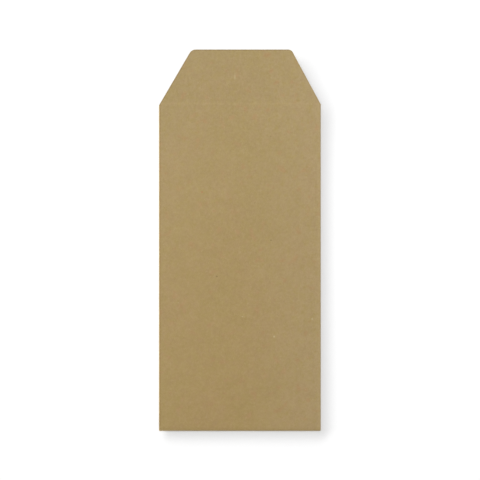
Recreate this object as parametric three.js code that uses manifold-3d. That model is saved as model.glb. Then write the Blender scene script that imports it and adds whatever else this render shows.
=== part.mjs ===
// A manila pocket envelope, lying on its back with its closing flap open.
// One die-cut sheet of paper makes all of it: the sides fold round from the front and lap along the middle of
// the back, the bottom flap folds up over them, and the closing flap goes on from the front beyond a crease.
// Glue holds the lap and the bottom flap, and the closing flap has a strip of dry gum on its inner face.
// Millimetres, +Z up. X runs across the pocket and +Y from the bottom fold to the closing flap. The origin is
// under the middle of the outline, on the surface that the envelope lies on.

import * as THREE from "three";
import { mergeVertices } from "three/addons/utils/BufferGeometryUtils.js";
import Module from "manifold-3d";

const wasm = await Module();
wasm.setup();

// The pocket
const pocketWidth = 110; // over the side folds
const pocketLength = 222.6; // from the bottom fold to the crease
const pocketGap = 1.1; // air that the folds hold open between the front and the back

// The sheet, and what is spread on it
const paperThickness = 0.11;
const glueThickness = 0.03;
const gumThickness = 0.03;

// The closing flap
const flapDepth = 36.8; // from the crease to the tip
const flapTipWidth = 67.5; // between the sloping sides, at the tip
const flapTipShift = 0.9; // the die-cut tip sits this far to the right of the middle
const flapCornerRadius = 5.4;
const creaseWidth = 1.8; // the strip that bends; the sides start to slope at its lower edge
const closedClearance = 0.03; // left between the gum and the back when the flap is shut
const gumWidth = 12;
const gumMargin = 3; // bare paper between the gum and the flap's edges
const gumCornerRadius = 2.5;

// The back
const lapWidth = 12; // how far the two panels overlap, the right one on the outside
const lapEdgeRoom = 0.3; // from the right panel's edge to where the left one has stepped in over it
const lapRampWidth = 1.5; // the slope of that step
const throatDrop = 8; // how far the back's mouth is cut below the crease
const throatSlopeWidth = 20; // run of the sloping cut beside each side fold
const throatRadius = 6;
const seamGlueWidth = 8;
const seamGlueMargin = 3; // dry length at each end of the seam

// The bottom flap
const bottomFlapDepth = 22; // from the bottom fold to its edge
const bottomFlapInset = 1.5; // its root stays this far inside each side fold
const bottomFlapTaper = 11; // run of each sloping side
const bottomFlapRadius = 7;
const bottomFoldRoom = 0.2; // between the bottom fold and the edges of the back panels
const bottomGlueWidth = 10;
const bottomGlueMargin = 3.5; // dry paper between the glue and the flap's edge
const bottomGlueEndMargin = 5; // and at its two ends

// How finely the round edges are cut
const cornerSteps = 10;
const foldSteps = 12;

// Heights of the undersides, from the table up: the bottom flap lies on the table, and the back on the flap.
const glueHeight = paperThickness;
const backHeight = glueHeight + glueThickness;
const seamGlueHeight = backHeight + paperThickness;
const lapHeight = seamGlueHeight + glueThickness;
const frontHeight = backHeight + paperThickness + pocketGap;
const topHeight = frontHeight + paperThickness;

// Places along the pocket and across it
const bottomY = -(pocketLength + flapDepth) / 2;
const creaseY = bottomY + pocketLength;
const shoulderY = creaseY - creaseWidth / 2;
const flapRootY = creaseY + creaseWidth / 2;
const tipY = creaseY + flapDepth;
const throatY = creaseY - throatDrop;
const sideFoldRadius = (topHeight - backHeight) / 2;
const bottomFoldRadius = topHeight / 2;
const panelHalfWidth = pocketWidth / 2 - sideFoldRadius;
const panelBottomY = bottomY + bottomFoldRadius;
const backBottomY = panelBottomY + bottomFoldRoom;
const lapHalf = lapWidth / 2;

// The crease bends about this height, so that the shut flap lies against the back.
const gumHeight = frontHeight - gumThickness;
const hingeHeight = (gumHeight + backHeight - closedClearance) / 2;

const manila = new THREE.MeshStandardMaterial({ color: 0xac966a, roughness: 0.85, metalness: 0 });
const dryGlue = new THREE.MeshStandardMaterial({ color: 0xd8cfae, roughness: 0.5, metalness: 0 });
const dryGum = new THREE.MeshStandardMaterial({ color: 0xc2ad7c, roughness: 0.3, metalness: 0 });

// Where the sloping sides of the closing flap are at a height y: [left, right].
function flapSides(y) {
  const share = (y - shoulderY) / (tipY - shoulderY);
  const left = THREE.MathUtils.lerp(-pocketWidth / 2, flapTipShift - flapTipWidth / 2, share);
  const right = THREE.MathUtils.lerp(pocketWidth / 2, flapTipShift + flapTipWidth / 2, share);
  return [left, right];
}

// A closed outline through corners [x, y, radius], counter-clockwise, each corner rounded to its radius.
function outline(corners) {
  const shape = new THREE.Shape();
  corners.forEach(([x, y, radius = 0], i) => {
    if (!radius) {
      if (i) shape.lineTo(x, y);
      else shape.moveTo(x, y);
      return;
    }
    const corner = new THREE.Vector2(x, y);
    const [beforeX, beforeY] = corners.at(i - 1);
    const [afterX, afterY] = corners[(i + 1) % corners.length];
    const toBefore = new THREE.Vector2(beforeX, beforeY).sub(corner).normalize();
    const toAfter = new THREE.Vector2(afterX, afterY).sub(corner).normalize();
    const halfAngle = Math.acos(toBefore.dot(toAfter)) / 2;
    const reach = radius / Math.tan(halfAngle);
    const start = corner.clone().addScaledVector(toBefore, reach);
    const end = corner.clone().addScaledVector(toAfter, reach);
    const inward = toBefore.clone().add(toAfter).normalize();
    const centre = corner.clone().addScaledVector(inward, radius / Math.sin(halfAngle));
    const isHollow = toBefore.cross(toAfter) > 0;
    const startAngle = start.sub(centre).angle();
    const endAngle = end.sub(centre).angle();
    shape.absarc(centre.x, centre.y, radius, startAngle, endAngle, isHollow);
  });
  return shape;
}

function rectangle(left, right, low, high) {
  return outline([[left, low], [right, low], [right, high], [left, high]]);
}

// A flat piece of the sheet, its underside at height 0 of its own frame.
function flatPiece(shape, thickness) {
  const settings = { depth: thickness, bevelEnabled: false, curveSegments: cornerSteps };
  return new THREE.ExtrudeGeometry(shape, settings);
}

function solidOf(geometry) {
  const bare = geometry.clone();
  bare.deleteAttribute("normal");
  bare.deleteAttribute("uv");
  const merged = mergeVertices(bare);
  const mesh = new wasm.Mesh({
    numProp: 3,
    vertProperties: merged.attributes.position.array,
    triVerts: new Uint32Array(merged.index.array),
  });
  return new wasm.Manifold(mesh);
}

function geometryOf(solid) {
  const mesh = solid.getMesh();
  const geometry = new THREE.BufferGeometry();
  geometry.setAttribute("position", new THREE.BufferAttribute(mesh.vertProperties, 3));
  geometry.setIndex(new THREE.BufferAttribute(mesh.triVerts, 1));
  return geometry;
}

// A piece of the sheet that steps up across the envelope: its section follows the bends [x, height] of its
// underside, and its shape seen from above is cut to the outline.
function steppedPiece(shape, bends, thickness) {
  const above = bends.map(([x, height]) => [x, height + thickness]).reverse();
  const section = outline([...bends, ...above]);
  const length = 2 * (tipY - bottomY);
  const strip = new THREE.ExtrudeGeometry(section, { depth: length, bevelEnabled: false });
  strip.rotateX(Math.PI / 2).translate(0, length / 2, 0);
  const depth = 4 * topHeight;
  const cutter = new THREE.ExtrudeGeometry(shape, { depth, bevelEnabled: false, curveSegments: cornerSteps });
  cutter.translate(0, 0, -depth / 2);
  return geometryOf(solidOf(strip).intersect(solidOf(cutter)));
}

// A fold of the sheet: half a tube of this outer radius, its axis along its own Z, open towards its own +X.
function foldPiece(radius, length) {
  const section = new THREE.Shape();
  section.absarc(0, 0, radius, Math.PI / 2, (3 * Math.PI) / 2, false);
  section.absarc(0, 0, radius - paperThickness, (3 * Math.PI) / 2, Math.PI / 2, true);
  return new THREE.ExtrudeGeometry(section, { depth: length, bevelEnabled: false, curveSegments: foldSteps });
}

function named(name, geometry, material, x = 0, y = 0, z = 0) {
  const mesh = new THREE.Mesh(geometry, material);
  mesh.name = name;
  mesh.position.set(x, y, z);
  return mesh;
}

function frontPanel() {
  const shape = rectangle(-panelHalfWidth, panelHalfWidth, panelBottomY, shoulderY);
  return named("front_panel", flatPiece(shape, paperThickness), manila, 0, 0, frontHeight);
}

// side is -1 for the left fold and 1 for the right one.
function sideFold(name, side) {
  const fold = foldPiece(sideFoldRadius, shoulderY - panelBottomY);
  const middle = backHeight + sideFoldRadius;
  const mesh = named(name, fold, manila, side * panelHalfWidth, side > 0 ? panelBottomY : shoulderY, middle);
  mesh.rotation.set(Math.PI / 2, side > 0 ? Math.PI : 0, 0);
  return mesh;
}

function bottomFold() {
  const length = 2 * panelHalfWidth;
  const fold = foldPiece(bottomFoldRadius, length);
  const mesh = named("bottom_fold", fold, manila, -length / 2, panelBottomY, bottomFoldRadius);
  mesh.rotation.set(Math.PI / 2, Math.PI / 2, 0);
  return mesh;
}

// The corners of the back's mouth, from the lap out to a side fold. side is -1 for the left, 1 for the right.
function throatCorners(side) {
  const slopeEnd = side * (panelHalfWidth - throatSlopeWidth);
  return [
    [-side * lapHalf, throatY],
    [slopeEnd, throatY, throatRadius],
    [side * panelHalfWidth, shoulderY],
  ];
}

function leftBackPanel() {
  const shape = outline([
    [-panelHalfWidth, backBottomY],
    [lapHalf, backBottomY],
    ...throatCorners(-1),
  ]);
  const rampEnd = -lapHalf - lapEdgeRoom;
  const bends = [
    [-pocketWidth, backHeight],
    [rampEnd - lapRampWidth, backHeight],
    [rampEnd, lapHeight],
    [pocketWidth, lapHeight],
  ];
  return named("left_back_panel", steppedPiece(shape, bends, paperThickness), manila);
}

function rightBackPanel() {
  const shape = outline([
    [-lapHalf, backBottomY],
    [panelHalfWidth, backBottomY],
    ...throatCorners(1).reverse(),
  ]);
  return named("right_back_panel", flatPiece(shape, paperThickness), manila, 0, 0, backHeight);
}

function seamGlue() {
  const half = seamGlueWidth / 2;
  const shape = rectangle(-half, half, backBottomY + seamGlueMargin, throatY - seamGlueMargin);
  return named("seam_glue", flatPiece(shape, glueThickness), dryGlue, 0, 0, seamGlueHeight);
}

const bottomFlapRootHalf = panelHalfWidth - bottomFlapInset;
const bottomFlapEdgeHalf = bottomFlapRootHalf - bottomFlapTaper;
const bottomFlapEdgeY = bottomY + bottomFlapDepth;

function bottomFlap() {
  const shape = outline([
    [-bottomFlapRootHalf, panelBottomY],
    [bottomFlapRootHalf, panelBottomY],
    [bottomFlapEdgeHalf, bottomFlapEdgeY, bottomFlapRadius],
    [-bottomFlapEdgeHalf, bottomFlapEdgeY, bottomFlapRadius],
  ]);
  return named("bottom_flap", flatPiece(shape, paperThickness), manila);
}

function bottomFlapGlue() {
  const half = bottomFlapEdgeHalf - bottomGlueEndMargin;
  const high = bottomFlapEdgeY - bottomGlueMargin;
  const shape = rectangle(-half, half, high - bottomGlueWidth, high);
  return named("bottom_flap_glue", flatPiece(shape, glueThickness), dryGlue, 0, 0, glueHeight);
}

function flapCrease() {
  const [lowLeft, lowRight] = flapSides(shoulderY);
  const [highLeft, highRight] = flapSides(flapRootY);
  const shape = outline([
    [lowLeft, shoulderY],
    [lowRight, shoulderY],
    [highRight, flapRootY],
    [highLeft, flapRootY],
  ]);
  return named("flap_crease", flatPiece(shape, paperThickness), manila, 0, 0, frontHeight);
}

// The pieces of the closing flap are placed from the line that it bends about.
function sealFlap() {
  const [rootLeft, rootRight] = flapSides(flapRootY);
  const [tipLeft, tipRight] = flapSides(tipY);
  const shape = outline([
    [rootLeft, flapRootY],
    [rootRight, flapRootY],
    [tipRight, tipY, flapCornerRadius],
    [tipLeft, tipY, flapCornerRadius],
  ]);
  return named("seal_flap", flatPiece(shape, paperThickness), manila, 0, -creaseY, frontHeight - hingeHeight);
}

function flapGum() {
  const high = tipY - gumMargin;
  const low = high - gumWidth;
  const [highLeft, highRight] = flapSides(high);
  const [lowLeft, lowRight] = flapSides(low);
  // The margin is measured square to a sloping side, so it is wider along X.
  const leftMargin = (gumMargin * Math.hypot(highLeft - lowLeft, gumWidth)) / gumWidth;
  const rightMargin = (gumMargin * Math.hypot(lowRight - highRight, gumWidth)) / gumWidth;
  const shape = outline([
    [lowLeft + leftMargin, low, gumCornerRadius],
    [lowRight - rightMargin, low, gumCornerRadius],
    [highRight - rightMargin, high, gumCornerRadius],
    [highLeft + leftMargin, high, gumCornerRadius],
  ]);
  return named("flap_gum", flatPiece(shape, gumThickness), dryGum, 0, -creaseY, gumHeight - hingeHeight);
}

const pocket = new THREE.Group();
pocket.add(
  frontPanel(),
  sideFold("left_side_fold", -1),
  sideFold("right_side_fold", 1),
  leftBackPanel(),
  rightBackPanel(),
  seamGlue(),
  bottomFold(),
  bottomFlap(),
  bottomFlapGlue(),
  flapCrease(),
);

// Turning this group about its own X axis, from 0 to -180 degrees, shuts the flap behind the pocket.
const closingFlap = new THREE.Group();
closingFlap.position.set(0, creaseY, hingeHeight);
closingFlap.add(sealFlap(), flapGum());

const envelope = new THREE.Group();
envelope.add(pocket, closingFlap);

export default envelope;
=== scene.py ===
# A manila pocket envelope lying face up with its closing flap open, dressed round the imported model.
# Metres, +Z up. Each piece starts as a plane or a circle, is shaped and cut into a grid in edit mode, and
# gets the thickness of its paper, glue or gum. One lattice that all of them share then bends them a little.

import math
import bpy
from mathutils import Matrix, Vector


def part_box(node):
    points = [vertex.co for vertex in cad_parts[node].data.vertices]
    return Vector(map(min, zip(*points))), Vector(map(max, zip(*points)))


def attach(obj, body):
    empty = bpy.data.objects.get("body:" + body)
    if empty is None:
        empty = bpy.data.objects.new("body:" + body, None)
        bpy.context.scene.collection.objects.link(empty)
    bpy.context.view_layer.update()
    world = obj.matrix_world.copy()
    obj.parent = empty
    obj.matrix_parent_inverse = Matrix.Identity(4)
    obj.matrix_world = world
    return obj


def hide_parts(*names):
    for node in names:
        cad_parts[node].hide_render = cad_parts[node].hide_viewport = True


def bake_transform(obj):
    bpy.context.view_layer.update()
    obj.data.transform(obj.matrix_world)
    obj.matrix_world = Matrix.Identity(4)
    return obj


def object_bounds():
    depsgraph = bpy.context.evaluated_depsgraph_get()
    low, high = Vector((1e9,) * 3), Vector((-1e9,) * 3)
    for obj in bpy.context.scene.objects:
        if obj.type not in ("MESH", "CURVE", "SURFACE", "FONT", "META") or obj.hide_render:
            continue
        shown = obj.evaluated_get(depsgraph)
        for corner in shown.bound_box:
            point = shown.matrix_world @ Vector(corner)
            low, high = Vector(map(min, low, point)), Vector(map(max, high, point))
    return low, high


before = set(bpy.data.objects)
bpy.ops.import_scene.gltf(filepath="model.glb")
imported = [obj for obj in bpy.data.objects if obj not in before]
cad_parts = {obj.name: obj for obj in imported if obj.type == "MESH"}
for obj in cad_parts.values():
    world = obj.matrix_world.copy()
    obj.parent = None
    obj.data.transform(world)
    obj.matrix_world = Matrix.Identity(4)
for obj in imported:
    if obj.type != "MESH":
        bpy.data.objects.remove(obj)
cadLow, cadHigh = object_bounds()
mm = 0.001
print("frame loaded", [round(v / mm, 2) for v in (*cadLow, *cadHigh)])

# The places of the panels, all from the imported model
frontLow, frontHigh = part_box("front_panel")
leftLow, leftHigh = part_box("left_back_panel")
rightLow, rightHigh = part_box("right_back_panel")
bottomLow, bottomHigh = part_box("bottom_flap")
flapLow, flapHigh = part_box("seal_flap")
gumLow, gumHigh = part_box("flap_gum")
sideLow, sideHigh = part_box("right_side_fold")
bendLow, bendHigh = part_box("bottom_fold")
seamLow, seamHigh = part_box("seam_glue")
pasteLow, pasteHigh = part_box("bottom_flap_glue")

lapPerGlue = 1.5  # width of the lap of the back panels, against that of the glue in it
sheet = frontHigh.z - frontLow.z  # thickness of the paper
top = frontHigh.z
halfWide = frontHigh.x  # half of the flat front, between the side folds
outerWide = cadHigh.x
foldY = frontLow.y  # where the flat front ends and the bottom fold starts
shoulderY = frontHigh.y  # where the flat front ends and the crease starts
rootY = flapLow.y
tipY = flapHigh.y
lapX = seamHigh.x * lapPerGlue  # the two back panels overlap from -lapX to lapX

close = {  # how near counts as the same place
    "corner": 0.02 * mm,
    "line": 0.01 * mm,
    "point": 0.001 * mm,
    "slant": 0.001,  # a face's normal with less than this along an axis is square to it
}

paper = {
    "gridStep": 2.4 * mm,  # size of the faces that the sheets are cut into
    "foldSegments": 24,  # round the half circle of a fold
    "turnSteps": 8,  # where the bottom fold turns into a side fold
    "cornerSegments": 10,
    "smoothAngle": 35,  # edges sharper than this many degrees stay sharp
    "rim": 0.9 * mm,  # how far in from a cut edge the paper is darkened: by handling, and by painted shade along the edge
    "spare": 4 * mm,  # past a fold line, cut off again, so that no rim runs along the fold
    "leftWear": 1.1,  # how dark the left fold is rubbed
    "frontLeftWear": 0.75,  # and the front along it
    "frontBottomWear": 0.85,
    "bandWear": 0.25,  # a rim's width in from the bottom fold, fading out further in
    "frontRightScuff": 0.1,
    "rightScuffAndLight": 0.35,  # how pale the other two folds are made: rubbed, and painted light against their shade
    "bottomScuffAndLight": 0.9,
    "leftRim": 1.0,  # wear and painted shade of the cut edges
    "rightRim": 0.35,
    "rightRimStart": 5,  # where the right side's begin, in half laps from the middle
    "tipRim": 1.6,
}


# Small steps that every piece uses

def onlySelect(piece):
    if bpy.context.object and bpy.context.object.mode != "OBJECT":
        bpy.ops.object.mode_set(mode="OBJECT")
    bpy.ops.object.select_all(action="DESELECT")
    piece.select_set(True)
    bpy.context.view_layer.objects.active = piece


def editWhole(piece, kind=None):
    # goes to edit mode with the whole piece selected, as faces where kind is "FACE"
    onlySelect(piece)
    bpy.ops.object.mode_set(mode="EDIT")
    if kind:
        bpy.ops.mesh.select_mode(type=kind)
    bpy.ops.mesh.select_all(action="SELECT")


def selectVerts(piece, wanted):
    # goes to edit mode with the vertices chosen by wanted(place) selected
    onlySelect(piece)
    bpy.ops.object.mode_set(mode="EDIT")
    bpy.ops.mesh.select_mode(type="VERT")
    bpy.ops.mesh.select_all(action="DESELECT")
    bpy.ops.object.mode_set(mode="OBJECT")
    for vert in piece.data.vertices:
        vert.select = bool(wanted(vert.co))
    bpy.ops.object.mode_set(mode="EDIT")


def moveVerts(piece, wanted, way):
    selectVerts(piece, wanted)
    bpy.ops.transform.translate(value=way)
    bpy.ops.object.mode_set(mode="OBJECT")


def atCorner(place, x, y):
    return abs(place.x - x) < close["corner"] and abs(place.y - y) < close["corner"]


def planePiece(name, left, right, low, high, height):
    # one flat face over this box, at this height, facing up
    bpy.ops.object.select_all(action="DESELECT")
    bpy.ops.mesh.primitive_plane_add(size=1)
    piece = bpy.context.object
    piece.name = piece.data.name = name
    bpy.ops.object.mode_set(mode="EDIT")
    bpy.ops.transform.resize(value=(right - left, high - low, 1))
    bpy.ops.transform.translate(value=((left + right) / 2, (low + high) / 2, height))
    bpy.ops.object.mode_set(mode="OBJECT")
    return piece


def moveCorner(piece, x, y, newX, newY):
    moveVerts(piece, lambda place: atCorner(place, x, y), (newX - x, newY - y, 0))


def roundCorner(piece, x, y, reach, segments):
    # reach is how far from the corner the round starts, along both sides; profile 0.5 is a true round
    selectVerts(piece, lambda place: atCorner(place, x, y))
    bpy.ops.mesh.bevel(offset_type="OFFSET", offset=reach, segments=segments, profile=0.5, affect="VERTICES")
    bpy.ops.object.mode_set(mode="OBJECT")


def cutAcross(piece, axis, limit, side=1, drop=False):
    # cuts the piece at this limit of x (axis 0) or y (axis 1)
    # with drop, what lies above the limit (side 1) or below it (side -1) goes
    place, normal = [0, 0, 0], [0, 0, 0]
    place[axis], normal[axis] = limit, side
    editWhole(piece, "FACE")
    bpy.ops.mesh.bisect(
        plane_co=place, plane_no=normal, use_fill=False, clear_outer=drop, threshold=close["point"]
    )
    bpy.ops.object.mode_set(mode="OBJECT")


def cutGrid(piece, size, axes=(0, 1)):
    # cuts the piece into faces of about this size, at limits of x (axis 0), of y (axis 1), or both
    places = [vert.co for vert in piece.data.vertices]
    spans = {axis: (min(p[axis] for p in places), max(p[axis] for p in places)) for axis in axes}
    for axis, (low, high) in spans.items():
        count = max(1, round((high - low) / size))
        for k in range(1, count):
            cutAcross(piece, axis, low + (high - low) * k / count)


def markWear(piece, kind, amount):
    # how worn the paper is at each vertex, from amount(vertex)
    wear = piece.data.attributes.new(kind, "FLOAT", "POINT")
    for vert in piece.data.vertices:
        wear.data[vert.index].value = amount(vert)


# how dark a cut edge is made: wear, and painted shade in place of the thin shadow beside it
def rimWearAndShadeAt(vert):
    if not vert.select:
        return 0.0
    if vert.co.y > tipY - closingFlap["short"] - close["line"]:
        return paper["tipRim"]
    return paper["rightRim"] if vert.co.x > lapX * paper["rightRimStart"] else paper["leftRim"]


def markRimWearAndShade(piece):
    # a narrow band just inside the outline, worn and painted with shade at its outer edge
    editWhole(piece, "FACE")
    bpy.ops.mesh.inset(thickness=paper["rim"], depth=0)
    bpy.ops.mesh.select_all(action="SELECT")
    bpy.ops.mesh.region_to_loop()
    bpy.ops.object.mode_set(mode="OBJECT")
    markWear(piece, "rimWearAndShade", rimWearAndShadeAt)


def faceDown(piece):
    editWhole(piece)
    bpy.ops.mesh.flip_normals()
    bpy.ops.object.mode_set(mode="OBJECT")


def thicken(piece, thickness, rimSlot, even=True):
    # the modelled face stays, and the sheet grows away from the side that it faces
    onlySelect(piece)
    bpy.ops.object.modifier_add(type="SOLIDIFY")
    wall = piece.modifiers[-1]
    wall.thickness = thickness
    wall.offset = -1
    wall.use_even_offset = even
    wall.material_offset_rim = rimSlot
    bpy.ops.object.modifier_apply(modifier=wall.name)


def finishPaper(piece, even=True):
    # paper on both faces, and a paler cut edge round them
    piece.data.materials.clear()
    piece.data.materials.append(manilaPaper)
    piece.data.materials.append(manilaCutEdge)
    thicken(piece, sheet, 1, even)
    return piece


# Materials

def addNode(tree, kind, **settings):
    made = tree.nodes.new(kind)
    for name, value in settings.items():
        if name in made.inputs:
            made.inputs[name].default_value = value
        else:
            setattr(made, name, value)
    return made


def startMaterial(name):
    # a new material, its nodes and shader, and the Object coordinates in mm
    made = bpy.data.materials.new(name)
    made.use_nodes = True
    tree = made.node_tree
    where = addNode(tree, "ShaderNodeTexCoord")
    inMm = addNode(tree, "ShaderNodeMapping")
    inMm.inputs["Scale"].default_value = (1 / mm, 1 / mm, 1 / mm)
    tree.links.new(where.outputs["Object"], inMm.inputs["Vector"])
    return made, tree, tree.nodes["Principled BSDF"], inMm.outputs["Vector"]


def stretchedNoise(tree, place, turn, size, detail, rough, shift=0):
    # noise whose spots are this many mm long, wide and deep, laid at this angle
    lay = addNode(tree, "ShaderNodeMapping", vector_type="TEXTURE")
    lay.inputs["Location"].default_value = (shift, shift, 0)
    lay.inputs["Rotation"].default_value = (0, 0, math.radians(turn))
    lay.inputs["Scale"].default_value = size
    tree.links.new(place, lay.inputs["Vector"])
    noise = addNode(tree, "ShaderNodeTexNoise", Scale=1.0, Detail=detail, Roughness=rough)
    tree.links.new(lay.outputs["Vector"], noise.inputs["Vector"])
    return noise.outputs["Fac"]


def ramp(tree, value, low, high, start=0.0, end=1.0):
    # start where the value is low, end where it is high, and held there beyond
    made = addNode(tree, "ShaderNodeMapRange", clamp=True)
    for name, number in (("From Min", low), ("From Max", high), ("To Min", start), ("To Max", end)):
        made.inputs[name].default_value = number
    tree.links.new(value, made.inputs["Value"])
    return made.outputs["Result"]


def calc(tree, how, a, b):
    made = addNode(tree, "ShaderNodeMath", operation=how)
    for socket, value in zip(made.inputs, (a, b)):
        if isinstance(value, (int, float)):
            socket.default_value = value
        else:
            tree.links.new(value, socket)
    return made.outputs["Value"]


def tint(tree, base, colour, amount):
    # mixes a colour over the base, as far as amount says
    made = addNode(tree, "ShaderNodeMix", data_type="RGBA", blend_type="MIX")
    for socket, value in ((made.inputs[0], amount), (made.inputs[6], base), (made.inputs[7], colour)):
        if isinstance(value, (int, float, tuple)):
            socket.default_value = value
        else:
            tree.links.new(value, socket)
    return made.outputs[2]


def linkSurface(tree, shader, colour, height, strength, depth, shine):
    # colour, bump and roughness go into the shader
    bump = addNode(tree, "ShaderNodeBump", Strength=strength, Distance=depth)
    tree.links.new(height, bump.inputs["Height"])
    tree.links.new(bump.outputs["Normal"], shader.inputs["Normal"])
    tree.links.new(colour, shader.inputs["Base Color"])
    tree.links.new(shine, shader.inputs["Roughness"])


manila = {
    "base": (0.339, 0.233, 0.093, 1),
    "paintedCoolLight": (0.296, 0.224, 0.100, 1),  # painted cooler light: what the paper turns to towards the flap's tip
    "darkFibre": (0.214, 0.145, 0.055, 1),
    "paleFibre": (0.447, 0.345, 0.181, 1),
    "olive": (0.311, 0.231, 0.086, 1),
    "rose": (0.339, 0.232, 0.107, 1),
    "blush": (0.347, 0.218, 0.098, 1),  # small reddish patches in the pulp
    "yellowPulp": (0.322, 0.237, 0.083, 1),
    "greyPulp": (0.327, 0.223, 0.108, 1),
    "paintedLitTone": (0.356, 0.266, 0.137, 1),  # painted light: lighter where more light falls, mostly at the right and at the tip
    "wornAndShaded": (0.205, 0.140, 0.050, 1),  # handled rims and folds, and painted shade along the cut edges of the sheets
    "scuffedAndPaintedLight": (0.500, 0.375, 0.180, 1),  # folds rubbed until the fibres stand up, and painted light that lifts the shade on them
    "soaked": (0.262, 0.180, 0.070, 1),  # over the glue on the back
    "darkSpeck": (0.075, 0.045, 0.020, 1),
    "redSpeck": (0.36, 0.15, 0.07, 1),
    "paleSpeck": (0.75, 0.66, 0.46, 1),
    "cutEdge": (0.60, 0.49, 0.30, 1),
    "wearGrain": (0.2, 0.8, 0.35, 0.75),  # how the grain breaks up the worn rims, as a ramp
    "grainHeight": 0.6,
    "fineHeight": 0.35,
    "fibreHeight": 0.5,
    "bump": 0.35,
    "bumpDepth": 0.06 * mm,
    "shine": (0.2, 0.8, 0.70, 0.88),  # roughness over the grain, as a ramp
    "specular": 0.28,
}

paintedLight = {  # painted light: how the tone changes over the envelope as the light falls: ramps from and to a place in mm, with the amount at each
    "coolTowardsTip": (-130, 130, 0, 0.7),
    "rightAcross": (0, 60, 0, 1),
    "rightAlong": (-110, 120, 0.86, 0.54),
    "leftAcross": (-15, -60, 0, 1),
    "leftAlong": (-110, 120, 0.06, 0.36),
    "tip": (-20, 130, 0, 0.3),
}

soak = {  # the darker patch on the back over each line of glue
    "level": (0.5, 0.4),  # heights in mm: none above the first, all of it below the second
    "soft": 0.5,  # how far its rim fades each way, in mm
    "blotch": (0.25, 0.6, 0.2, 0.6),  # a ramp over the cloudy pulp
}

pulp = {  # noises: angle, length, width and depth of the spots in mm, detail, roughness
    "drift": (93, (45, 30, 20), 3, 0.55),  # slow change of tone
    "cloud": (95, (7.7, 6.7, 3.3), 4, 0.65),  # cloudy formation of the sheet
    "hue": (70, (3.8, 3.3, 2.5), 2, 0.6),
    "patch": (40, (6.2, 5.4, 5.0), 1, 0.45),
    "mottle": (20, (2.3, 2.3, 2.3), 1, 0.45),
    "grain": (0, (1.5, 1.5, 1.5), 2, 0.6),
    "fine": (0, (0.2, 0.2, 0.2), 3, 0.6),
}
pulpTints = (  # noise, tone, where it starts and where it is full, strength
    ("drift", "olive", 0.45, 0.72, 0.4),
    ("drift", "rose", 0.5, 0.3, 0.4),
    ("hue", "yellowPulp", 0.46, 0.76, 0.7),
    ("hue", "greyPulp", 0.46, 0.16, 0.7),
    ("patch", "blush", 0.63, 0.75, 0.7),
    ("cloud", "darkFibre", 0.48, 0.78, 0.12),
    ("cloud", "paleFibre", 0.48, 0.22, 0.12),
    ("mottle", "darkFibre", 0.49, 0.80, 0.12),
    ("mottle", "paleFibre", 0.49, 0.18, 0.11),
    ("grain", "darkFibre", 0.47, 0.80, 0.15),
    ("grain", "paleFibre", 0.47, 0.18, 0.13),
)

fibre = {  # thin and a few millimetres long
    "size": (2.4, 0.16, 0.5),
    "detail": 2,
    "rough": 0.55,
    "shift": 4,  # mm for each degree of turn, so that no two sets are alike
    "edge": 0.08,
    "strength": 0.36,
}
fibreSets = (  # angle, tone, and how rare they are
    (82, "paleFibre", 0.62),
    (101, "darkFibre", 0.62),
    (52, "darkFibre", 0.64),
    (128, "paleFibre", 0.64),
    (14, "paleFibre", 0.65),
    (-21, "darkFibre", 0.66),
)

speck = {
    "shift": (3.7, 1.9, 1.0),  # how far each step of the seed moves the cells
    "flatness": 3,  # how many times a cell is wider than it is deep
    "core": 0.35,  # the inner share of a speck that has its full tone
    "show": 0.35,
}
speckSets = (  # tone, size of a cell and of its speck in mm, share of the cells that hold one, seed
    ("darkSpeck", 7.0, 0.42, 0.035, 1),
    ("darkSpeck", 3.1, 0.20, 0.06, 2),
    ("redSpeck", 6.0, 0.55, 0.05, 3),
    ("paleSpeck", 8.0, 0.50, 0.035, 4),
    ("paleSpeck", 2.7, 0.22, 0.05, 5),
)

fleck = {"level": 1.6, "core": 0.3}  # height in mm of the address side, and as for a speck
flecks = (  # the ones that catch the eye: tone, x and y in mm, half width and half height in mm, strength
    ("darkSpeck", -15.7, -24.6, 0.80, 0.75, 0.44),
    ("paleSpeck", 23.3, -65.5, 0.80, 0.90, 0.23),
    ("darkSpeck", 21.2, -0.1, 0.80, 0.65, 0.38),
    ("paleSpeck", 49.1, -53.6, 0.90, 0.80, 0.22),
    ("paleSpeck", -3.40, 111.0, 0.95, 2.50, 0.13),
    ("redSpeck", -25.7, 32.7, 0.95, 0.80, 0.70),
    ("darkSpeck", 20.7, 70.6, 0.60, 0.60, 0.25),
)


def addPaintedLight(tree, axes, colour):
    # painted light: cooler towards the flap's tip, and lighter at the two sides and at the tip
    x, y = axes.outputs["X"], axes.outputs["Y"]
    sides = [
        calc(tree, "MULTIPLY", ramp(tree, x, *paintedLight[side + "Across"]), ramp(tree, y, *paintedLight[side + "Along"]))
        for side in ("right", "left")
    ]
    paintedLitAmount = calc(tree, "ADD", calc(tree, "ADD", *sides), ramp(tree, y, *paintedLight["tip"]))
    colour = tint(tree, colour, manila["paintedCoolLight"], ramp(tree, y, *paintedLight["coolTowardsTip"]))
    return tint(tree, colour, manila["paintedLitTone"], paintedLitAmount)


def addSoak(tree, axes, cloud, colour):
    soft = soak["soft"]
    for low, high in ((seamLow, seamHigh), (pasteLow, pasteHigh)):
        inside = ramp(tree, axes.outputs["Z"], *soak["level"])
        for axis, start, end in (("X", low.x / mm, high.x / mm), ("Y", low.y / mm, high.y / mm)):
            for edge, inwards in ((start, soft), (end, -soft)):
                rim = ramp(tree, axes.outputs[axis], edge - inwards, edge + inwards)
                inside = calc(tree, "MULTIPLY", inside, rim)
        glued = calc(tree, "MULTIPLY", inside, ramp(tree, cloud, *soak["blotch"]))
        colour = tint(tree, colour, manila["soaked"], glued)
    return colour


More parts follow.
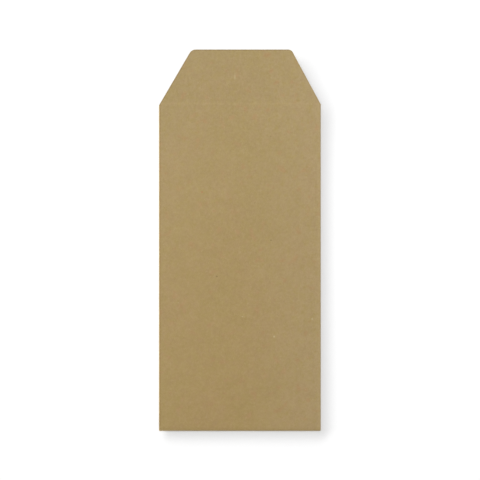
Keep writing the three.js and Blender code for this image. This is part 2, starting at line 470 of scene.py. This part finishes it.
def specks(tree, place, cell, size, share, seed):
    # round specks, one in a cell here and there: share of the cells hold one
    lay = addNode(tree, "ShaderNodeMapping")
    lay.inputs["Location"].default_value = tuple(seed * part for part in speck["shift"])
    lay.inputs["Scale"].default_value = (1 / cell, 1 / cell, speck["flatness"] / cell)
    tree.links.new(place, lay.inputs["Vector"])
    cells = addNode(tree, "ShaderNodeTexVoronoi", Scale=1.0, feature="F1")
    tree.links.new(lay.outputs["Vector"], cells.inputs["Vector"])
    dot = ramp(tree, cells.outputs["Distance"], size / cell, speck["core"] * size / cell)
    pick = addNode(tree, "ShaderNodeSeparateColor")
    tree.links.new(cells.outputs["Color"], pick.inputs["Color"])
    held = calc(tree, "LESS_THAN", pick.outputs["Red"], share)
    return calc(tree, "MULTIPLY", dot, held)


def oneFleck(tree, place, x, y, wide, tall, share):
    # measured from the middle of the fleck, on the address side only
    lay = addNode(tree, "ShaderNodeMapping", vector_type="TEXTURE")
    lay.inputs["Location"].default_value = (x, y, fleck["level"])
    lay.inputs["Scale"].default_value = (wide, tall, wide)
    tree.links.new(place, lay.inputs["Vector"])
    off = addNode(tree, "ShaderNodeVectorMath", operation="LENGTH")
    tree.links.new(lay.outputs["Vector"], off.inputs[0])
    return ramp(tree, off.outputs["Value"], 1, fleck["core"], 0, share)


def manilaMaterial(name, base):
    made, tree, shader, place = startMaterial(name)
    axes = addNode(tree, "ShaderNodeSeparateXYZ")
    tree.links.new(place, axes.inputs["Vector"])
    noises = {kind: stretchedNoise(tree, place, *shape) for kind, shape in pulp.items()}
    grain = noises["grain"]

    colour = addPaintedLight(tree, axes, base)
    colour = addSoak(tree, axes, noises["cloud"], colour)
    for kind, tone, start, end, strength in pulpTints:
        colour = tint(tree, colour, manila[tone], ramp(tree, noises[kind], start, end, 0, strength))

    # fibres lie in all directions, but mostly along the sheet
    lines = []
    for turn, tone, limit in fibreSets:
        shift = fibre["shift"] * turn
        lay = stretchedNoise(tree, place, turn, fibre["size"], fibre["detail"], fibre["rough"], shift)
        lines.append(ramp(tree, lay, limit, limit + fibre["edge"], 0, fibre["strength"]))
        colour = tint(tree, colour, manila[tone], lines[-1])

    # bark and pulp specks, then the few flecks that stand out
    for tone, *shape in speckSets:
        amount = calc(tree, "MULTIPLY", specks(tree, place, *shape), speck["show"])
        colour = tint(tree, colour, manila[tone], amount)
    for tone, *shape in flecks:
        colour = tint(tree, colour, manila[tone], oneFleck(tree, place, *shape))

    # worn rims, with painted shade along the cut edges, and folds made paler: scuffed, and painted light
    # against their shade
    rim = addNode(tree, "ShaderNodeAttribute", attribute_name="rimWearAndShade")
    wornAndShaded = calc(tree, "MULTIPLY", rim.outputs["Fac"], ramp(tree, grain, *manila["wearGrain"]))
    colour = tint(tree, colour, manila["wornAndShaded"], wornAndShaded)
    # painted light: the scuffed folds are made paler against their shade
    scuffAndLight = addNode(tree, "ShaderNodeAttribute", attribute_name="scuffAndPaintedLight")
    colour = tint(tree, colour, manila["scuffedAndPaintedLight"], scuffAndLight.outputs["Fac"])

    height = calc(tree, "MULTIPLY", grain, manila["grainHeight"])
    height = calc(tree, "ADD", height, calc(tree, "MULTIPLY", noises["fine"], manila["fineHeight"]))
    for amount in lines:
        height = calc(tree, "ADD", height, calc(tree, "MULTIPLY", amount, manila["fibreHeight"]))
    shine = ramp(tree, grain, *manila["shine"])
    linkSurface(tree, shader, colour, height, manila["bump"], manila["bumpDepth"], shine)
    shader.inputs["Specular IOR Level"].default_value = manila["specular"]
    return made


gumLook = {
    "base": (0.520, 0.400, 0.190, 1),
    "dark": (0.40, 0.28, 0.11, 1),
    "roughness": 0.16,
    "ripple": 0.5,
}
glueLook = {
    "base": (0.640, 0.560, 0.370, 1),
    "dark": (0.50, 0.40, 0.22, 1),
    "roughness": 0.34,
    "ripple": 0.4,
}
filmLook = {  # the same for gum and glue
    "streaks": (0, (8.3, 0.62, 1.0), 3, 0.6),  # noises, as for the pulp
    "dapple": (0, (0.7, 0.7, 0.7), 3, 0.6),
    "streakTint": (0.4, 0.75, 0, 0.55),
    "dappleTint": (0.5, 0.8, 0, 0.4),
    "pinholes": (1.9, 0.28, 0.12, 6),  # as for the specks
    "pinholeShow": 0.8,
    "dappleHeight": 0.7,
    "rippleDepth": 0.08 * mm,
    "shineFrom": (0.3, 0.8),  # where in the dapple the roughness starts and stops rising
    "shineSpread": 0.18,
}


def filmMaterial(name, look):
    # dried glue or gum: a thin film with small ripples and pinholes
    made, tree, shader, place = startMaterial(name)
    streaks = stretchedNoise(tree, place, *filmLook["streaks"])
    dapple = stretchedNoise(tree, place, *filmLook["dapple"])
    colour = tint(tree, look["base"], look["dark"], ramp(tree, streaks, *filmLook["streakTint"]))
    colour = tint(tree, colour, look["dark"], ramp(tree, dapple, *filmLook["dappleTint"]))
    holes = calc(tree, "MULTIPLY", specks(tree, place, *filmLook["pinholes"]), filmLook["pinholeShow"])
    colour = tint(tree, colour, manila["base"], holes)
    height = calc(tree, "ADD", streaks, calc(tree, "MULTIPLY", dapple, filmLook["dappleHeight"]))
    roughest = look["roughness"] + filmLook["shineSpread"]
    shine = ramp(tree, dapple, *filmLook["shineFrom"], look["roughness"], roughest)
    linkSurface(tree, shader, colour, height, look["ripple"], filmLook["rippleDepth"], shine)
    return made


manilaPaper = manilaMaterial("manilaPaper", manila["base"])
manilaCutEdge = manilaMaterial("manilaCutEdge", manila["cutEdge"])
dryGum = filmMaterial("dryGum", gumLook)
dryGlue = filmMaterial("dryGlue", glueLook)
print("materials made")


# The front and the folds

def frontWear(vert):
    if vert.co.x < close["line"] - halfWide:
        return paper["frontLeftWear"]
    if vert.co.y < close["line"] + foldY:
        return paper["frontBottomWear"]
    if vert.co.y < close["line"] + foldY + paper["rim"]:
        return paper["bandWear"]
    return 0.0


# the right edge of the front made a little paler: scuffed, and painted light against the shade at the fold
def frontScuffAndLight(vert):
    return paper["frontRightScuff"] if vert.co.x > halfWide - close["line"] else 0.0


def makeFront():
    piece = planePiece("front_paper", -halfWide, halfWide, foldY, shoulderY, top)
    cutGrid(piece, paper["gridStep"])
    cutAcross(piece, 0, paper["rim"] - halfWide)
    cutAcross(piece, 1, foldY + paper["rim"])
    markWear(piece, "rimWearAndShade", frontWear)
    markWear(piece, "scuffAndPaintedLight", frontScuffAndLight)
    return finishPaper(piece)


def halfTube(name, radius, length):
    # half of a round section in the Y-Z plane, bulging towards -Y, drawn out along X about the origin
    bpy.ops.object.select_all(action="DESELECT")
    bpy.ops.mesh.primitive_circle_add(vertices=2 * paper["foldSegments"], radius=radius)
    piece = bpy.context.object
    piece.name = piece.data.name = name
    bpy.ops.object.mode_set(mode="EDIT")
    bpy.ops.mesh.select_all(action="SELECT")
    bpy.ops.transform.rotate(value=math.pi / 2, orient_axis="Y", center_override=(0, 0, 0))
    bpy.ops.object.mode_set(mode="OBJECT")
    selectVerts(piece, lambda place: place.y > close["point"])
    bpy.ops.mesh.delete(type="VERT")
    bpy.ops.mesh.select_all(action="SELECT")
    bpy.ops.transform.translate(value=(-length / 2, 0, 0))
    bpy.ops.mesh.extrude_region_move(TRANSFORM_OT_translate={"value": (length, 0, 0)})
    bpy.ops.object.mode_set(mode="OBJECT")
    return piece


def turnAndPlace(piece, turn, place):
    editWhole(piece)
    if turn:
        bpy.ops.transform.rotate(value=turn, orient_axis="Z", center_override=(0, 0, 0))
    bpy.ops.transform.translate(value=place)
    bpy.ops.object.mode_set(mode="OBJECT")


def faceOutwards(piece, middle):
    # turns the faces away from the middle line of the fold
    editWhole(piece)
    bpy.ops.mesh.remove_doubles(threshold=close["point"])
    bpy.ops.mesh.normals_make_consistent(inside=False)
    bpy.ops.object.mode_set(mode="OBJECT")
    face = piece.data.polygons[0]
    away = face.center - Vector(middle)
    away.x *= abs(face.normal.x) > close["slant"]
    away.y *= abs(face.normal.y) > close["slant"]
    if face.normal.dot(away) < 0:
        faceDown(piece)


def makeSideFold(name, side, kind, amount):
    # side is -1 for the left one and 1 for the right one; kind and amount say how it is worn, or scuffed and
    # painted lighter
    radius = (sideHigh.z - sideLow.z) / 2
    middle = (sideHigh.z + sideLow.z) / 2
    piece = halfTube(name, radius, shoulderY - foldY)
    turnAndPlace(piece, -side * math.pi / 2, (side * halfWide, (shoulderY + foldY) / 2, middle))
    cutGrid(piece, paper["gridStep"], axes=(1,))
    faceOutwards(piece, (side * halfWide, 0, middle))
    markWear(piece, kind, lambda vert: amount)
    return finishPaper(piece)


def makeBottomFold():
    radius = (bendHigh.z - bendLow.z) / 2
    middle = (bendHigh.z + bendLow.z) / 2
    piece = halfTube("bottom_fold_paper", radius, 2 * halfWide)
    turnAndPlace(piece, 0, (0, foldY, middle))
    cutGrid(piece, paper["gridStep"], axes=(0,))
    # each end turns the corner into the side fold
    for side in (-1, 1):
        end = side * halfWide
        selectVerts(piece, lambda place: abs(place.x - end) < close["line"])
        bpy.ops.mesh.spin(
            steps=paper["turnSteps"], angle=-side * math.pi / 2, center=(end, foldY, middle), axis=(0, 0, 1)
        )
        bpy.ops.object.mode_set(mode="OBJECT")
    faceOutwards(piece, (0, foldY, middle))
    # the bottom fold made paler: scuffed, and painted light against the shade on its lower side
    markWear(piece, "scuffAndPaintedLight", lambda vert: paper["bottomScuffAndLight"])
    return finishPaper(piece, even=False)


# The back: each panel is made facing up, and its faces are flipped at the end, as its outside is below

throat = {  # the cut of the back's mouth
    "slope": 20 * mm,  # run of the sloping cut beside each side fold
    "drop": 7.1 * mm,  # from its outer end down to the straight part
    "round": 1.2 * mm,
    "roundSegments": 4,
}


def makeBackPanel(name, side, low, high):
    # side is -1 for the left panel and 1 for the right one
    inner, outer = -side * lapX, side * halfWide
    straightY = high.y - throat["drop"]
    bendX = outer - side * throat["slope"]
    spareX, spareY = outer + side * paper["spare"], high.y + paper["spare"] * throat["drop"] / throat["slope"]
    piece = planePiece(name, min(inner, spareX), max(inner, spareX), low.y, spareY, low.z)
    # a new corner in the mouth's edge, then the edge is drawn down to the straight cut
    selectVerts(piece, lambda place: abs(place.y - spareY) < close["line"])
    bpy.ops.mesh.subdivide(number_cuts=1)
    bpy.ops.object.mode_set(mode="OBJECT")
    moveCorner(piece, (inner + spareX) / 2, spareY, bendX, straightY)
    moveCorner(piece, inner, spareY, inner, straightY)
    roundCorner(piece, bendX, straightY, throat["round"], throat["roundSegments"])
    markRimWearAndShade(piece)
    cutAcross(piece, 0, outer, side, drop=True)
    cutGrid(piece, paper["gridStep"])
    return piece


step = {"room": 0.3 * mm, "ramp": 1.5 * mm}  # where the left panel steps in over the right one's edge


def makeLeftBack():
    piece = makeBackPanel("left_back_paper", -1, leftLow, leftHigh)
    rampEnd = -lapX - step["room"]
    rampStart = rampEnd - step["ramp"]
    rise = leftHigh.z - sheet - leftLow.z
    for x in (rampEnd, rampStart, rampEnd - step["ramp"] / 2):
        cutAcross(piece, 0, x)
    moveVerts(piece, lambda place: place.x > rampEnd - close["line"], (0, 0, rise))
    moveVerts(
        piece, lambda place: rampStart + close["line"] < place.x < rampEnd - close["line"], (0, 0, rise / 2)
    )
    faceDown(piece)
    return finishPaper(piece)


def makeRightBack():
    piece = makeBackPanel("right_back_paper", 1, rightLow, rightHigh)
    faceDown(piece)
    return finishPaper(piece)


bottomFlapShape = {"taper": 11 * mm, "cornerReach": 4.4 * mm}


def makeBottomFlap():
    left, right, low, high = bottomLow.x, bottomHigh.x, bottomLow.y, bottomHigh.y
    taper, reach = bottomFlapShape["taper"], bottomFlapShape["cornerReach"]
    spare = paper["spare"]
    piece = planePiece("bottom_flap_paper", left, right, low - spare, high, bottomLow.z)
    for x, side in ((left, -1), (right, 1)):
        moveCorner(piece, x, low - spare, x + side * spare * taper / (high - low), low - spare)
        moveCorner(piece, x, high, x - side * taper, high)
        roundCorner(piece, x - side * taper, high, reach, paper["cornerSegments"])
    markRimWearAndShade(piece)
    cutAcross(piece, 1, low, -1, drop=True)
    cutGrid(piece, paper["gridStep"])
    faceDown(piece)
    return finishPaper(piece)


# The closing flap and its crease

closingFlap = {
    "tipWidth": 67.5 * mm,  # between the sloping sides at the tip, before the corners are rounded
    "tipShift": 0.9 * mm,  # the tip sits this much to the right of the root
    "lean": 0.2 * mm,  # and the whole flap this much to the right
    "cornerReach": {-1: 2.5 * mm, 1: 1.95 * mm},
    "short": 0.15 * mm,  # taken off the tip, which is raised and so looks longer from above
}


def flapSideX(side, y):
    # where a sloping side of the closing flap is, this far along the envelope
    share = (y - shoulderY) / (tipY - shoulderY)
    tipX = closingFlap["tipShift"] + side * closingFlap["tipWidth"] / 2
    return side * outerWide + share * (tipX - side * outerWide) + closingFlap["lean"]


def flapBlank(name, low, high, height):
    # the open flap from below its root to its tip, cut to the part that is wanted
    start, end = shoulderY - paper["spare"], tipY - closingFlap["short"]
    piece = planePiece(name, -outerWide, outerWide, start, end, height)
    for side, reach in closingFlap["cornerReach"].items():
        moveCorner(piece, side * outerWide, start, flapSideX(side, start), start)
        moveCorner(piece, side * outerWide, end, flapSideX(side, end), end)
        roundCorner(piece, flapSideX(side, end), end, reach, paper["cornerSegments"])
    markRimWearAndShade(piece)
    cutAcross(piece, 1, low, -1, drop=True)
    if high < tipY:
        cutAcross(piece, 1, high, 1, drop=True)
    return piece


crease = {"rows": 12, "drop": 0.03 * mm}  # the flap lies this much lower than the front


def makeCrease():
    piece = flapBlank("crease_paper", shoulderY, rootY, top)
    cutGrid(piece, paper["gridStep"], axes=(0,))
    cutGrid(piece, (rootY - shoulderY) / crease["rows"], axes=(1,))
    for k in range(1, crease["rows"] + 1):
        share = k / crease["rows"]
        y = shoulderY + (rootY - shoulderY) * share
        sink = -crease["drop"] * math.sin(share * math.pi / 2) ** 2
        moveVerts(piece, lambda place: abs(place.y - y) < close["line"], (0, 0, sink))
    return finishPaper(piece)


def makeSealFlap():
    piece = flapBlank("seal_flap_paper", rootY, tipY, top - crease["drop"])
    cutGrid(piece, paper["gridStep"])
    return finishPaper(piece)


# Gum and glue, each on the underside of its sheet

film = {
    "grid": 1.2 * mm,
    "waver": 0.3 * mm,  # of the rim
    "smoothing": 0.5,
    "smoothRounds": 2,
    "wideCorner": 1.45 * mm,  # how far the rounds of the gum reach along its corners at the tip
    "sharpCorner": 3.4 * mm,  # and at those nearer the crease
    "cornerSegments": 6,
    "cornerRoom": 4.5 * mm,  # the rim doesn't waver this near a corner of the gum
    "gumSeed": 11,
    "seamSeed": 21,
    "bottomSeed": 31,
}


def spreadFilm(piece, material, seed, level, thickness, corners=()):
    # the rim wavers as a roller leaves it, but not at the corners
    cutGrid(piece, film["grid"])
    editWhole(piece)
    bpy.ops.mesh.region_to_loop()
    bpy.ops.mesh.select_mode(type="VERT")
    bpy.ops.object.mode_set(mode="OBJECT")
    for vert in piece.data.vertices:
        if any(math.hypot(vert.co.x - x, vert.co.y - y) < film["cornerRoom"] for x, y in corners):
            vert.select = False
    bpy.ops.object.mode_set(mode="EDIT")
    bpy.ops.transform.vertex_random(offset=film["waver"], uniform=1, normal=0, seed=seed)
    bpy.ops.mesh.vertices_smooth(factor=film["smoothing"], repeat=film["smoothRounds"])
    bpy.ops.object.mode_set(mode="OBJECT")
    # and then goes back to one level
    editWhole(piece)
    bpy.ops.transform.resize(value=(1, 1, 0), center_override=(0, 0, level))
    bpy.ops.object.mode_set(mode="OBJECT")
    faceDown(piece)
    piece.data.materials.append(material)
    thicken(piece, thickness, 0)
    return piece


def makeGum():
    level = gumLow.z - crease["drop"]
    piece = planePiece("gum_strip", gumLow.x, gumHigh.x, gumLow.y, gumHigh.y, level)
    corners = []
    for side, x in ((-1, gumLow.x), (1, gumHigh.x)):
        inset = abs(flapSideX(side, gumLow.y)) - abs(x)
        tipX = flapSideX(side, gumHigh.y) - side * inset
        moveCorner(piece, x, gumHigh.y, tipX, gumHigh.y)
        roundCorner(piece, tipX, gumHigh.y, film["wideCorner"], film["cornerSegments"])
        roundCorner(piece, x, gumLow.y, film["sharpCorner"], film["cornerSegments"])
        corners += [(tipX, gumHigh.y), (x, gumLow.y)]
    return spreadFilm(piece, dryGum, film["gumSeed"], level, gumHigh.z - gumLow.z, corners)


def makeGlue(name, low, high, seed):
    piece = planePiece(name, low.x, high.x, low.y, high.y, low.z)
    return spreadFilm(piece, dryGlue, seed, low.z, high.z - low.z)


pieces = {
    "front_panel": makeFront(),
    "left_side_fold": makeSideFold("left_fold_paper", -1, "rimWearAndShade", paper["leftWear"]),
    "right_side_fold": makeSideFold("right_fold_paper", 1, "scuffAndPaintedLight", paper["rightScuffAndLight"]),
    "left_back_panel": makeLeftBack(),
    "right_back_panel": makeRightBack(),
    "bottom_fold": makeBottomFold(),
    "bottom_flap": makeBottomFlap(),
    "flap_crease": makeCrease(),
    "seal_flap": makeSealFlap(),
    "flap_gum": makeGum(),
    "seam_glue": makeGlue("seam_glue_film", seamLow, seamHigh, film["seamSeed"]),
    "bottom_flap_glue": makeGlue("bottom_glue_film", pasteLow, pasteHigh, film["bottomSeed"]),
}
print("pieces made", len(pieces))


# How the paper lies

rest = {  # heights that the lattice adds; a run is where a change starts and how long it is
    "crown": 0.22 * mm,  # the middle of the front above its edges
    "crownPower": 4,  # how flat the crown is along the envelope
    "pinch": 0.15 * mm,  # how much lower the front is at the folds
    "pinchPower": 6,  # how closely that keeps to the bottom fold
    "pinchRun": (0.5, 0.4),  # where it fades out towards the mouth
    "cornerPress": 0.15 * mm,  # lower still at the bottom corners, where the folds press each other flat
    "pressPowers": (8, 14),  # how closely that keeps to the side folds and to the bottom fold
    "cornerLift": 0.92 * mm,  # how far the back stands off the table at the bottom-left corner
    "liftPowers": (7, 14),
    "backSag": 0.03 * mm,  # the mouth's edge of the back, down to the table
    "sagRun": (0.3, 0.7),
    "flapRise": 0.15 * mm,  # the root of the flap above the model's, so that it closes clear of the back
    "riseRun": (0.8, 0.2),
    "flapCurl": 0.46 * mm,  # the tip of the flap above its root
    "flapEnd": 0.34,  # where the tip is, in half pockets past the mouth
    "ripple": 0.03 * mm,  # long waves in the sheet
    "rippleAlong": (3.1, 1.3, 0.7),
    "rippleAcross": (2.2, 0.9),
    "points": (19, 43, 2),  # of the lattice
    "cockle": 0.05 * mm,  # small uneven swells of the paper
    "cockleSize": 26 * mm,
    "cockleDepth": 2,
}


def climb(value, start, run):
    # 0 up to start, then up to 1 over the run
    return min(1.0, max(0.0, (value - start) / run))


def restLift(x, y, upper):
    # height that the lattice adds at a place: x and y run from -1 to 1 over the pocket, y past 1 on the flap
    across = 1 - x * x
    left, bottom = max(0.0, -x), max(0.0, -y)
    if not upper:
        leftPower, bottomPower = rest["liftPowers"]
        corner = rest["cornerLift"] * left ** leftPower * bottom ** bottomPower
        return corner - rest["backSag"] * across * climb(y, *rest["sagRun"])
    alongY, alongX, shift = rest["rippleAlong"]
    acrossX, acrossY = rest["rippleAcross"]
    wave = rest["ripple"] * math.sin(alongY * y + alongX * x + shift) * math.cos(acrossX * x - acrossY * y)
    wave += rest["flapRise"] * climb(y, *rest["riseRun"])
    if y > 1:
        return rest["flapCurl"] * (y - 1) / rest["flapEnd"] + wave
    crown = rest["crown"] * across * (1 - y ** rest["crownPower"])
    folded = 1 - across * (1 - bottom ** rest["pinchPower"])
    pinch = rest["pinch"] * folded * (1 - climb(y, *rest["pinchRun"]))
    sidePower, bottomPower = rest["pressPowers"]
    pinch += rest["cornerPress"] * x ** sidePower * bottom ** bottomPower
    return crown - pinch + wave


def addLattice():
    bpy.ops.object.select_all(action="DESELECT")
    bpy.ops.object.add(type="LATTICE")
    cage = bpy.context.object
    cage.name = "restCage"
    lattice = cage.data
    lattice.points_u, lattice.points_v, lattice.points_w = rest["points"]
    lattice.interpolation_type_w = "KEY_LINEAR"
    low = Vector((-outerWide, cadLow.y, 0))
    high = Vector((outerWide, cadHigh.y, top))
    cage.scale = high - low
    cage.location = (low + high) / 2
    pocketMiddle = (cadLow.y + shoulderY) / 2
    pocketHalf = (shoulderY - cadLow.y) / 2
    for point in lattice.points:
        place = Vector(a * b for a, b in zip(point.co, cage.scale)) + cage.location
        upper = point.co.z > 0
        lift = restLift(place.x / outerWide, (place.y - pocketMiddle) / pocketHalf, upper)
        point.co_deform.z = point.co.z + lift / cage.scale.z
    return cage


def layPaper(piece, cage, swell):
    onlySelect(piece)
    bpy.ops.object.modifier_add(type="LATTICE")
    piece.modifiers[-1].object = cage
    bpy.ops.object.modifier_add(type="DISPLACE")
    uneven = piece.modifiers[-1]
    uneven.texture = swell
    uneven.texture_coords = "LOCAL"
    uneven.direction = "Z"
    uneven.strength = rest["cockle"]
    for name in [modifier.name for modifier in piece.modifiers]:
        bpy.ops.object.modifier_apply(modifier=name)
    bpy.ops.object.shade_smooth_by_angle(angle=math.radians(paper["smoothAngle"]))


cage = addLattice()
swell = bpy.data.textures.new("paperCockle", "CLOUDS")
swell.noise_scale = rest["cockleSize"]
swell.noise_depth = rest["cockleDepth"]
for piece in pieces.values():
    layPaper(piece, cage, swell)
bpy.data.objects.remove(cage)
print("paper laid")


# What each piece stands for, and what it moves with

for node, piece in pieces.items():
    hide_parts(node)
    if node == "flap_crease":
        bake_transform(piece)
    elif node in ("seal_flap", "flap_gum"):
        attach(piece, "closing_flap")
    else:
        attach(piece, "pocket")


# Table, light and camera

table = {
    "size": 12.0,
    "drop": 0.06 * mm,
    "near": (0.96, 0.96, 0.96, 1),
    "far": (0.855, 0.855, 0.855, 1),  # painted shade: a little greyer, against the lamp that stands on that side
    "fade": (-0.16, 0.14),  # from near to far
    "roughness": 0.9,
}


def makeTable():
    bpy.ops.object.select_all(action="DESELECT")
    bpy.ops.mesh.primitive_plane_add(size=table["size"], location=(0, 0, -table["drop"]))
    floor = bpy.context.object
    floor.name = "table"
    white = bpy.data.materials.new("tableWhite")
    white.use_nodes = True
    tree = white.node_tree
    shader = tree.nodes["Principled BSDF"]
    where = addNode(tree, "ShaderNodeTexCoord")
    axes = addNode(tree, "ShaderNodeSeparateXYZ")
    tree.links.new(where.outputs["Object"], axes.inputs["Vector"])
    shade = ramp(tree, axes.outputs["Y"], *table["fade"])
    tree.links.new(tint(tree, table["near"], table["far"], shade), shader.inputs["Base Color"])
    shader.inputs["Roughness"].default_value = table["roughness"]
    shader.inputs["Specular IOR Level"].default_value = 0.0
    floor.data.materials.append(white)


light = {
    "topPower": 5.2,
    "topPlace": (0.17, 0.35, 0.95),
    "topSize": 0.30,
    "keyPower": 425.0,  # a long low strip, up to the left, that gives the soft shadow
    "keyPlace": (-2.22, 2.02, 0.41),
    "keyWide": 7.0,
    "keyTall": 0.42,
    "around": 0.37,
}


def addAreaLight(name, place, wide, tall, power):
    # aimed at the origin
    bpy.ops.object.select_all(action="DESELECT")
    bpy.ops.object.light_add(type="AREA", location=place)
    lamp = bpy.context.object
    lamp.name = lamp.data.name = name
    lamp.data.shape = "RECTANGLE"
    lamp.data.size, lamp.data.size_y = wide, tall
    lamp.data.energy = power
    lamp.rotation_euler = (-Vector(place)).to_track_quat("-Z", "Y").to_euler()


def makeLights():
    addAreaLight("topLight", light["topPlace"], light["topSize"], light["topSize"], light["topPower"])
    addAreaLight("keyLight", light["keyPlace"], light["keyWide"], light["keyTall"], light["keyPower"])
    world = bpy.data.worlds.new("studio")
    world.use_nodes = True
    sky = world.node_tree.nodes["Background"]
    sky.inputs["Color"].default_value = (1, 1, 1, 1)
    sky.inputs["Strength"].default_value = light["around"]
    bpy.context.scene.world = world


camera = {
    "lens": 100.0,
    "sensor": 36.0,
    "viewWidth": 326.4 * mm,  # of the photograph, at the height of the front
    "middle": (0.08 * mm, 0.12 * mm),
    "clip": (0.01, 50),
}


def makeCamera():
    bpy.ops.object.select_all(action="DESELECT")
    x, y = camera["middle"]
    away = camera["viewWidth"] * camera["lens"] / camera["sensor"]
    bpy.ops.object.camera_add(location=(x, y, top + away), rotation=(0, 0, 0))
    made = bpy.context.object
    made.data.lens = camera["lens"]
    made.data.sensor_width = camera["sensor"]
    made.data.clip_start, made.data.clip_end = camera["clip"]
    bpy.context.scene.camera = made


makeTable()
makeLights()
makeCamera()
bpy.context.scene.view_settings.view_transform = "Standard"
print("scene lit")
